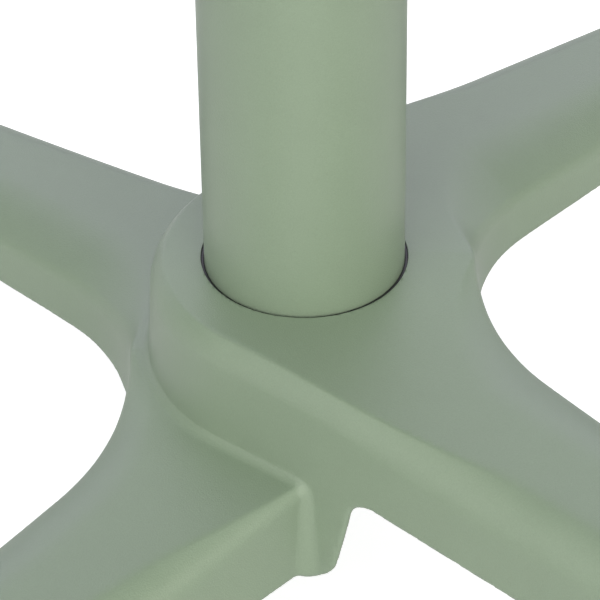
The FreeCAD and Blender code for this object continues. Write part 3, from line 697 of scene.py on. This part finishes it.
def onHandle(x, z, c):  # along the handle from the pin, and across it
    angle = math.atan2(c.drop, c.reach)
    dx, dz = x - latchX, z - latchZ
    return dx * math.cos(angle) + dz * math.sin(angle), dz * math.cos(angle) - dx * math.sin(angle)


def leverField(x, y, z):
    c = opened(leverValues)
    y = np.abs(y)
    along, across = onHandle(x, z, c)
    fromPin = np.hypot(along, across)
    arm = np.maximum(slab(x, c.armFrom, c.armTo), slab(z, latchZ, c.hookTop))
    tooth = np.maximum(slab(x, c.hookTo, c.armTo), slab(z, c.hookLow, c.hookTop))
    handle = np.maximum(slab(along, -c.reach, 0), np.abs(across) - c.thickness / 2)
    outline = inEither(fromPin - c.bossRadius, handle, c.handleFillet)
    outline = inEither(outline, np.minimum(arm, tooth), c.hookFillet)
    return without(inBoth(outline, y - c.half, c.edge), fromPin - c.boreRadius, c.boreEdge)


def gripField(x, y, z):
    c = opened(leverValues)
    y = np.abs(y)
    along, across = onHandle(x, z, c)
    flat = np.abs(across) - c.thickness / 2
    end, start = -c.reach - c.gripWall, c.gripLength - c.reach
    wave = (1 - np.cos(2 * np.pi * (along - start) / c.ribPitch)) / 2
    ribbed = slab(along, end + c.ribsFromEnd, start - c.ribsFromStart) < 0
    groove = c.ribDepth * wave * ribbed
    sleeve = inBoth(y - c.half - c.gripWall, flat - c.gripWall + groove, c.gripRound)
    sleeve = inBoth(sleeve, slab(along, end, start), c.gripRound)
    inside = np.maximum(np.maximum(y - c.half, flat), -c.reach - along)
    return without(sleeve, inside, c.boreEdge)


leverSurface = fieldSurface(leverField, nodeGrid("latch_lever", leverValues["cell"]))
castPiece("latchLever", "latch_lever", "latch_lever", "zinc_steel", leverSurface)
gripSurface = fieldSurface(gripField, nodeGrid("lever_grip", leverValues["gripCell"]))
castPiece("handleGrip", "lever_grip", "latch_lever", "black_plastic", gripSurface)


# Snap rings on the ends of the hinge pin and the latch pin: an open band with two holed lugs
snapRings = {
    "hinge_clips": {"x": hingeX, "z": hingeZ, "pinRadius": 5, "inner": 22.3, "lug": 1.45},
    "latch_clips": {"x": latchX, "z": latchZ, "pinRadius": 3, "inner": 11.8, "lug": 1.25},
}
ringValues = {
    "cell": 0.3, "margin": 3, "thickness": 1.2, "band": 2.2, "bandLift": 0.4, "edge": 0.2,
    "lugSpread": 1.5, "lugDrop": 0.6, "lugFillet": 0.4, "lugHole": 0.55,
}


def snapRing(c, side):
    shape = opened(ringValues)
    radius = c.pinRadius + shape.band
    lugX, lugZ = c.lug * shape.lugSpread, -radius + c.lug - shape.lugDrop
    outer = c.inner + shape.thickness

    def field(x, y, z):
        dx, dz = np.abs(x - c.x), z - c.z
        fromLug = np.hypot(dx - lugX, dz - lugZ)
        band = np.maximum(np.hypot(dx, dz - shape.bandLift) - radius, c.pinRadius - np.hypot(dx, dz))
        band = np.maximum(band, -np.maximum(dx - lugX, dz))
        band = inEither(band, fromLug - c.lug, shape.lugFillet)
        band = np.maximum(band, shape.lugHole - fromLug)
        return inBoth(band, slab(y * side, c.inner, outer), shape.edge)

    reach = c.pinRadius + shape.margin
    y0, y1 = sorted((c.inner * side, outer * side))
    low, high = (c.x - reach, y0, c.z - reach), (c.x + reach, y1, c.z + reach)
    return fieldSurface(field, evenGrid(low, high, shape.cell))


for node, values in snapRings.items():
    c = opened(values)
    name = node.replace("_clips", "SnapRings")
    castPiece(name, node, "base", "spring_steel", snapRing(c, 1), snapRing(c, -1))


# Turned pieces: rings of points from an outline of radius and height, about a line along Z or Y
turnValues = {"sideShare": 0.45, "merge": 1e-7, "degenerate": 1e-8, "sharpDeg": 32}


def eased(outline, radius, closed):  # every corner becomes a short curve
    most = turnValues["sideShare"]
    points = []
    for k, (r, z) in enumerate(outline):
        if not closed and k in (0, len(outline) - 1):
            points.append((r, z))
            continue
        corner = Vector((r, z))
        before = Vector(outline[k - 1]) - corner
        after = Vector(outline[(k + 1) % len(outline)]) - corner
        a = corner + before.normalized() * min(radius, before.length * most)
        b = corner + after.normalized() * min(radius, after.length * most)
        for share in (0, 0.25, 0.5, 0.75, 1):
            points.append(tuple(a * (1 - share) ** 2 + corner * 2 * share * (1 - share) + b * share ** 2))
    return points


def turnedMesh(rings, count, closed):
    angles = np.arange(count) * 2 * np.pi / count
    points = []
    for radius, height in rings:
        level = height * np.ones(count)
        points.append(np.stack([radius * np.cos(angles), radius * np.sin(angles), level], axis=1))
    points = np.concatenate(points)
    step = np.arange(count)
    turn = (step + 1) % count
    faces = []
    for k in range(len(rings) if closed else len(rings) - 1):
        a, b = k * count, (k + 1) % len(rings) * count
        faces.append(np.stack([a + step, a + turn, b + turn, b + step], axis=1))
    mesh = bpy.data.meshes.new("turned")
    mesh.from_pydata((points * millimetre).tolist(), [], np.concatenate(faces).tolist())
    return mesh


def turnedPiece(name, rings, count=96, closed=False, place=(0, 0, 0), along="Z"):
    mesh = turnedMesh(rings, count, closed)
    work = bmesh.new()
    work.from_mesh(mesh)
    bmesh.ops.remove_doubles(work, verts=work.verts, dist=turnValues["merge"])
    bmesh.ops.dissolve_degenerate(work, edges=work.edges, dist=turnValues["degenerate"])
    if along == "Y":
        bmesh.ops.rotate(work, verts=work.verts, matrix=Matrix.Rotation(math.radians(-90), 3, "X"))
    bmesh.ops.translate(work, verts=work.verts, vec=Vector(place) * millimetre)
    bmesh.ops.recalc_face_normals(work, faces=work.faces)
    work.to_mesh(mesh)
    work.free()
    mesh.shade_smooth()
    mesh.set_sharp_from_angle(angle=math.radians(turnValues["sharpDeg"]))
    print("stage:", name)
    return linked(name, mesh)


def span(node):  # lowest and highest corners in millimetres
    low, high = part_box(node)
    return low / millimetre, high / millimetre


def tube(name, node, outer, inner, edge, finish, count=256):
    low, high = span(node)
    outline = [(outer, low.z), (outer, high.z), (inner, high.z), (inner, low.z)]
    stand(turnedPiece(name, eased(outline, edge, True), count, True), node, "base", finish)


columnValues = {"radius": 30, "wall": 2, "edge": 0.5, "ringWidth": 1, "ringEdge": 0.25}
c = opened(columnValues)
tube("column", "column_tube", c.radius, c.radius - c.wall, c.edge, "tube_green")
tube("sealRing", "centring_ring", c.radius + c.ringWidth, c.radius, c.ringEdge, "black_plastic")

# Plain pins along Y, with chamfered ends and a groove for each snap ring
pinValues = {
    "hinge_pin": {"x": hingeX, "z": hingeZ, "radius": 5, "groove": 22.2, "grooveDepth": 0.35, "chamfer": 0.8},
    "latch_pin": {"x": latchX, "z": latchZ, "radius": 3, "groove": 11.7, "grooveDepth": 0.3, "chamfer": 0.6},
    "keeper_pin": {"x": keeperX, "z": keeperZ, "radius": 2, "groove": 0, "grooveDepth": 0, "chamfer": 0.4},
}
pinShape = {"grooveWidth": 1.4, "round": 0.15, "sides": 64}
for node, values in pinValues.items():
    c = opened(values)
    low, high = span(node)
    end, r = high.y, c.radius
    half = [(0, end), (r - c.chamfer, end), (r, end - c.chamfer)]
    if c.groove:
        deep, far = r - c.grooveDepth, c.groove + pinShape["grooveWidth"]
        half += [(r, far), (deep, far), (deep, c.groove), (r, c.groove)]
    outline = [(v, -y) for v, y in half] + [(v, y) for v, y in reversed(half)]
    pin = turnedPiece(node.split("_")[0] + "Pin", eased(outline, pinShape["round"], False), pinShape["sides"],
                      place=(c.x, 0, c.z), along="Y")
    stand(pin, node, "tilt_plate" if node == "keeper_pin" else "base", "steel")


# Nut and washer in the recess under the hub
hexagonValues = {"flatShare": 0.95, "chamferDeg": 30, "steps": 6}


def hexagonRings(acrossFlats, low, high, count):  # with its corners chamfered at both ends
    angles = np.arange(count) * 2 * np.pi / count
    full = acrossFlats / 2 / np.cos(np.mod(angles, np.pi / 3) - np.pi / 6)
    flat = acrossFlats / 2 * hexagonValues["flatShare"]
    slope = math.tan(math.radians(hexagonValues["chamferDeg"]))
    steps = np.linspace(0, (full.max() - flat) * slope, hexagonValues["steps"])
    cuts = [(np.minimum(full, flat + step / slope), step) for step in steps]
    return [(cut, low + step) for cut, step in cuts] + [(cut, high - step) for cut, step in reversed(cuts)]


nutValues = {"acrossFlats": 19, "bore": 6, "countersink": 0.9, "sides": 120}
washerValues = {"bore": 6.5, "edge": 0.35, "sides": 96}
c = opened(nutValues)
low, high = span("tie_rod_nut")
bore, sink, depth = c.bore, c.bore + c.countersink, c.countersink
rings = hexagonRings(c.acrossFlats, low.z, high.z, c.sides)
rings += [(sink, high.z), (bore, high.z - depth), (bore, low.z + depth), (sink, low.z)]
stand(turnedPiece("tieRodNut", rings, c.sides, True), "tie_rod_nut", "base", "zinc_steel")
c = opened(washerValues)
low, high = span("tie_rod_washer")
tube("tieRodWasher", "tie_rod_washer", high.x, c.bore, c.edge, "zinc_steel", c.sides)


# What winds round a line: a spring's wire, and the ridge of a screw thread
def geometryTree(name, whole, *numbers):  # its inputs: one whole number, some other numbers and the finish
    tree = bpy.data.node_groups.new(name, "GeometryNodeTree")
    for way in ("INPUT", "OUTPUT"):
        tree.interface.new_socket("Geometry", in_out=way, socket_type="NodeSocketGeometry")
    for label, kind in [(whole, "Int")] + [(label, "Float") for label in numbers] + [("Finish", "Material")]:
        tree.interface.new_socket(label, in_out="INPUT", socket_type="NodeSocket" + kind)
    return tree, tree.nodes.new("NodeGroupInput").outputs


def join(tree, kind, settings=(), **sockets):  # adds a node, its sockets given values or other nodes' outputs
    node = tree.nodes.new(kind)
    for label, item in dict(settings).items():
        setattr(node, label, item)
    for label, item in sockets.items():
        socket = node.inputs[label.replace("_", " ")]
        if isinstance(item, bpy.types.NodeSocket):
            tree.links.new(item, socket)
        else:
            socket.default_value = item
    return node


def closeTree(tree, given, made):  # joins what is made to the given mesh, and gives both the finish
    both = tree.nodes.new("GeometryNodeJoinGeometry")
    tree.links.new(made.outputs[0], both.inputs[0])
    tree.links.new(given["Geometry"], both.inputs[0])
    plain = join(tree, "GeometryNodeRealizeInstances", Geometry=both.outputs[0])
    done = join(tree, "GeometryNodeSetMaterial", Geometry=plain.outputs[0], Material=given["Finish"])
    join(tree, "NodeGroupOutput", Geometry=done.outputs[0])
    return tree


def windingTree(stepsPerTurn):
    tree, given = geometryTree("winding", "Sides", "Radius", "Turns", "Height", "Start", "Wire")
    path = join(tree, "GeometryNodeCurveSpiral", Resolution=stepsPerTurn, Rotations=given["Turns"],
                Start_Radius=given["Radius"], End_Radius=given["Radius"], Height=given["Height"])
    upright = join(tree, "GeometryNodeSetCurveNormal", {"mode": "Z_UP"}, Curve=path.outputs[0])
    section = join(tree, "GeometryNodeCurvePrimitiveCircle", Resolution=given["Sides"], Radius=given["Wire"])
    ridge = join(tree, "GeometryNodeCurveToMesh", Curve=upright.outputs[0], Profile_Curve=section.outputs[0],
                 Fill_Caps=True)
    lift = join(tree, "ShaderNodeCombineXYZ", Z=given["Start"])
    moved = join(tree, "GeometryNodeTransform", Geometry=ridge.outputs[0], Translation=lift.outputs[0])
    return closeTree(tree, given, moved)


# Runs the tree on the piece and keeps the plain mesh that it gives; lengths are in millimetres
def withNodes(piece, tree, finish, counts, **lengths):
    inputs = {label: length * millimetre for label, length in lengths.items()}
    inputs.update(counts, Finish=finishes[finish])
    modifier = piece.modifiers.new(tree.name, "NODES")
    modifier.node_group = tree
    for item in tree.interface.items_tree:
        if item.in_out == "INPUT" and item.name in inputs:
            modifier[item.identifier] = inputs[item.name]
    bpy.context.view_layer.update()
    plain = bpy.data.meshes.new_from_object(piece.evaluated_get(bpy.context.evaluated_depsgraph_get()))
    piece.modifiers.clear()
    piece.data = plain


winding = windingTree(stepsPerTurn=48)


springValues = {
    "meanRadius": 3.1, "wire": 0.4, "turns": 6.0, "height": 10.6, "start": -78.3, "z": 700, "sides": 12,
}
c = opened(springValues)
latchSpring = linked("latchSpring", bpy.data.meshes.new("latchSpring"))
withNodes(latchSpring, winding, "spring_steel", {"Sides": c.sides, "Turns": c.turns}, Radius=c.meanRadius,
          Wire=c.wire, Height=c.height)
latchSpring.data.transform(Matrix.Translation(Vector((c.start, 0, c.z)) * millimetre)
                           @ Matrix.Rotation(math.radians(90), 4, "Y"))
stand(latchSpring, "latch_spring", "base", "spring_steel")
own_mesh(latchSpring)


# Threaded rod with a ridge at each end, and the stems of the feet
def threaded(piece, radius, pitch, ridge, low, high, sides=4):
    counts = {"Sides": sides, "Turns": (high - low) / pitch}
    withNodes(piece, winding, "zinc_steel", counts, Radius=radius - ridge, Wire=ridge, Height=high - low,
              Start=low)


rodValues = {
    "radius": 6, "pitch": 1.75, "ridge": 0.55, "chamfer": 1.2, "bevel": 1, "thread": 34, "round": 0.2,
    "sides": 64, "ridgeLength": 32, "ridgeFromBottom": 0.6, "ridgeFromTop": 33,
}
c = opened(rodValues)
low, high = span("tie_rod")
core = c.radius - c.ridge
ends = [(0, 0), (c.radius - c.chamfer, 0), (core, c.bevel), (core, c.thread), (c.radius, c.thread + c.bevel)]
outline = [(v, low.z + h) for v, h in ends] + [(v, high.z - h) for v, h in reversed(ends)]
tieRod = turnedPiece("tieRod", eased(outline, c.round, False), c.sides)
for bottom in (low.z + c.ridgeFromBottom, high.z - c.ridgeFromTop):
    threaded(tieRod, c.radius, c.pitch, c.ridge, bottom, bottom + c.ridgeLength)
stand(tieRod, "tie_rod", "base", "zinc_steel")


# The four levelling feet: a coned pad with a grip round its rim, and a stem with a hexagon for a wrench
footValues = {
    "padRadius": 15, "rim": 3, "height": 7, "neck": 9, "neckEase": 0.6, "neckDrop": 1.2, "padRound": 0.4,
    "sole": 0.7, "soleIn": 2.2, "lipIn": 2.5, "lipBevel": 1, "pivot": 3, "pivotDepth": 4.8, "pivotGap": 0.05,
    "mouth": 0.7, "ribs": 48, "ribRadius": 0.45, "ribSides": 10, "ribStand": 0.8, "ribSink": 0.04,
    "ribLow": 1.1, "ribHigh": 3.1, "hexagon": 13, "hexagonLow": 7.3, "hexagonHigh": 11.8, "hexagonGap": 0.1,
    "stem": 4, "stemTop": 35.8, "stemBevel": 1, "stemFoot": 0.4, "stemRound": 0.15, "sides": 96,
    "pitch": 1.25, "ridge": 0.42, "ridgeFrom": 0.6, "ridgeTo": 0.9,
}


def rimTree(sides):
    tree, given = geometryTree("rimRibs", "Ribs", "Rim", "Rib", "Low", "High")
    low, high = Value(tree, given["Low"]), Value(tree, given["High"])
    circle = join(tree, "GeometryNodeMeshCircle", Vertices=given["Ribs"], Radius=given["Rim"])
    rib = join(tree, "GeometryNodeMeshCylinder", {"fill_type": "NGON"}, Vertices=sides, Radius=given["Rib"],
               Depth=(high - low).socket)
    lift = join(tree, "ShaderNodeCombineXYZ", Z=((low + high) * 0.5).socket)
    raised = join(tree, "GeometryNodeTransform", Geometry=rib.outputs["Mesh"], Translation=lift.outputs[0])
    ribs = join(tree, "GeometryNodeInstanceOnPoints", Points=circle.outputs[0], Instance=raised.outputs[0])
    return closeTree(tree, given, ribs)


rimRibs = rimTree(footValues["ribSides"])


def placeFoot(piece, node, body, finish):  # moves a piece made about the origin over to its node
    low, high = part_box(node)
    piece.data.transform(Matrix.Translation(((low.x + high.x) / 2, (low.y + high.y) / 2, 0)))
    stand(piece, node, body, finish)


def glidePad(corner, c):
    radius = c.padRadius - c.ribRadius * c.ribStand
    pivot, top = c.pivot + c.pivotGap, c.height
    outline = [(0, c.sole), (radius - c.soleIn, c.sole), (radius - c.lipIn, 0), (radius - c.lipBevel, 0),
               (radius, c.lipBevel), (radius, c.rim), (c.neck + c.neckEase, top - c.neckDrop), (c.neck, top),
               (c.pivot + c.mouth, top), (pivot, top - c.mouth), (pivot, top - c.pivotDepth),
               (0, top - c.pivotDepth)]
    pad = turnedPiece("glidePad_" + corner, eased(outline, c.padRound, False), c.sides)
    withNodes(pad, rimRibs, "black_plastic", {"Ribs": c.ribs}, Rim=radius - c.ribSink, Rib=c.ribRadius,
              Low=c.ribLow, High=c.ribHigh)
    placeFoot(pad, "glide_pad_" + corner, "pad_" + corner, "black_plastic")


def glideStem(corner, c):
    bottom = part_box("glide_stem_" + corner)[0].z / millimetre
    core, top = c.stem - c.ridge, c.stemTop
    rings = eased([(0, bottom), (c.pivot - c.stemFoot, bottom), (c.pivot, bottom + c.stemFoot),
                   (c.pivot, c.hexagonLow - c.hexagonGap)], c.stemRound, False)
    rings += hexagonRings(c.hexagon, c.hexagonLow, c.hexagonHigh, c.sides)
    rings += eased([(core, c.hexagonHigh), (core, top - c.stemBevel), (c.stem - c.stemBevel, top),
                    (0, top)], c.stemRound, False)
    stem = turnedPiece("glideStem_" + corner, rings, c.sides)
    threaded(stem, c.stem, c.pitch, c.ridge, c.hexagonHigh + c.ridgeFrom, top - c.ridgeTo)
    placeFoot(stem, "glide_stem_" + corner, "stem_" + corner, "zinc_steel")


for corner in ("back_right", "front_right", "back_left", "front_left"):
    glidePad(corner, opened(footValues))
    glideStem(corner, opened(footValues))

# Rubber buffers under the bracket: a waisted stub with a softly domed end
bufferValues = {
    "x": -52, "y": 13, "low": 690, "high": 700, "radius": 7, "waist": 6.3, "lip": 2, "waistFrom": 3.4,
    "dome": 0.35, "domeShare": 0.5, "domeDrop": 0.08, "round": 0.8, "sides": 64,
}
c = opened(bufferValues)
outline = [(0, c.low), (c.radius, c.low), (c.radius, c.low + c.lip),
           (c.waist, c.low + c.waistFrom), (c.waist, c.high - c.waistFrom),
           (c.radius, c.high - c.lip), (c.radius, c.high - c.dome),
           (c.radius * c.domeShare, c.high - c.domeDrop), (0, c.high)]
work = bmesh.new()
for side in (1, -1):
    buffer = turnedPiece("buffer", eased(outline, c.round, False), c.sides, place=(c.x, side * c.y, 0))
    work.from_mesh(buffer.data)
    bpy.data.objects.remove(buffer)
mesh = bpy.data.meshes.new("plateBuffers")
work.to_mesh(mesh)
work.free()
plateBuffers = linked("plateBuffers", mesh)
stand(plateBuffers, "plate_buffers", "base", "black_rubber")
print("stage: spring, rod, feet and buffers")


for entry in frame["record"]["subparts"]:  # nodes whose own mesh is kept
    node = frame["nodes"][entry["node"]]
    node.data.materials.clear()
    node.data.materials.append(finishes[entry["material_slot"]])
print("stage: finishes on the kept nodes")

# Studio: soft lights far off, each with its bearing from straight behind, its height and its width, all in
# degrees, its strength and its tint
studioValues = {
    "tints": {"white": (1, 1, 1), "cool": (1.04, 1, 1.2), "warm": (1, 1, 0.9), "green": (0.94, 1, 0.92)},
    "lights": {
        "back": (0, 36, 40, 1.5, "cool"),
        "frontHigh": (180, 62, 38, 2.1, "green"),
        "front": (180, 8, 40, 2.3, "warm"),
        "frontRight": (135, 8, 40, 2.3, "warm"),
        "frontLeftHigh": (225, 36, 40, 0.9, "white"),
        "frontLeft": (225, 8, 40, 0.9, "white"),
        "backRight": (45, 8, 40, 1, "cool"),
        "backLeft": (315, 8, 40, 1, "cool"),
    },
    "reach": 16, "floor": 0.6, "floorGlow": 0.25, "sheetGlow": 0.52, "sheetHeight": 0.00005, "backdrop": 1.0,
    "backdropLow": -0.01, "roughness": 0.9,
}


def cameraOnly(piece):
    for ray in ("diffuse", "glossy", "transmission", "shadow"):
        setattr(piece, "visible_" + ray, False)


def stagePiece(name, points, faces, shade, glow):
    mesh = bpy.data.meshes.new(name)
    mesh.from_pydata(points, [], faces)
    mesh.materials.append(paint(name).finish(
        Roughness=studioValues["roughness"], Specular_IOR_Level=0.0, Base_Color=(shade, shade, shade, 1),
        Emission_Color=(1, 1, 1, 1), Emission_Strength=glow))
    piece = linked(name, mesh)
    piece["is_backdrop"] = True
    return piece


def makeStudio(values):
    world = Nodes(bpy.data.worlds.new("studio"), "Background")
    direction = world.add("ShaderNodeTexCoord", output="Generated")
    total = (0, 0, 0)
    for bearing, height, width, strength, tint in values.lights.values():
        colour = tuple(strength * channel for channel in values.tints[tint])
        a, e = math.radians(bearing), math.radians(height)
        towards = (math.sin(a) * math.cos(e), math.cos(a) * math.cos(e), math.sin(e))
        facing = world.vector("DOT_PRODUCT", direction, towards, output="Value")
        lobe = world.add("ShaderNodeMapRange", {"interpolation_type": "SMOOTHSTEP"}, Value=facing,
                         From_Min=math.cos(math.radians(width)), From_Max=1.0)
        total = world.vector("ADD", world.vector("MULTIPLY", lobe, colour), total)
    bpy.context.scene.world = world.finish(Color=total, Strength=1.0)
    bpy.context.scene.world.cycles_visibility.camera = False
    reach = values.reach
    square = [(-reach, -reach), (reach, -reach), (reach, reach), (-reach, reach)]
    stagePiece("floor", [(x, y, 0) for x, y in square], [(0, 1, 2, 3)], values.floor, values.floorGlow)
    raised = [(x, y, values.sheetHeight) for x, y in square]
    sheet = stagePiece("floorSheen", raised, [(0, 1, 2, 3)], 0, values.sheetGlow)
    nodes = Nodes(sheet.data.materials[0], "Principled BSDF")
    clear = nodes.add("ShaderNodeBsdfTransparent")
    both = nodes.add("ShaderNodeAddShader")
    nodes.tree.links.new(clear.socket, both.socket.node.inputs[0])
    nodes.tree.links.new(nodes.shader.outputs[0], both.socket.node.inputs[1])
    nodes.tree.links.new(both.socket, nodes.tree.nodes["Material Output"].inputs[0])
    walls = [(x, y, z) for z in (values.backdropLow, reach) for x, y in square]
    faces = [(k, (k + 1) % 4, (k + 1) % 4 + 4, k + 4) for k in range(4)] + [(4, 5, 6, 7)]
    backdrop = stagePiece("backdrop", walls, faces, 0, values.backdrop)
    cameraOnly(sheet)
    cameraOnly(backdrop)


makeStudio(opened(studioValues))
bpy.context.scene.view_settings.view_transform = "Standard"
print("stage: studio")

low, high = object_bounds()
